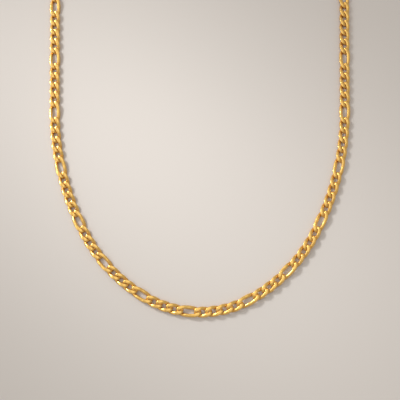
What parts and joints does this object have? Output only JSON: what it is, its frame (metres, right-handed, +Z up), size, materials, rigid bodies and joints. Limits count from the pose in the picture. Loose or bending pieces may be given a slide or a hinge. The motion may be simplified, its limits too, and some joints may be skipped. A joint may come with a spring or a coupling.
{
  "type": "figaro neck chain",
  "caption": "Closed loop of flat twisted curb links in short groups between longer oval links, joined at the back by a plain barrel clasp; worn round the neck.",
  "frame": {"origin": "middle of the loop's outline, on the surface that the chain lies on", "axes": "+Z up from the surface, -Y towards the front of the necklace, +Y towards the clasp at the back of the neck, +X to the right of the picture"},
  "size_m": [0.1126, 0.1736, 0.0028],
  "materials": {
    "gold_plate": "gold plate, polished, with ground upper and lower faces",
    "gold_clasp": "gold plate, turned and polished"
  },
  "bodies": {
    "root": {"curb_links": "gold_plate", "long_links": "gold_plate", "clasp": "gold_clasp"}
  },
  "joints": []
}
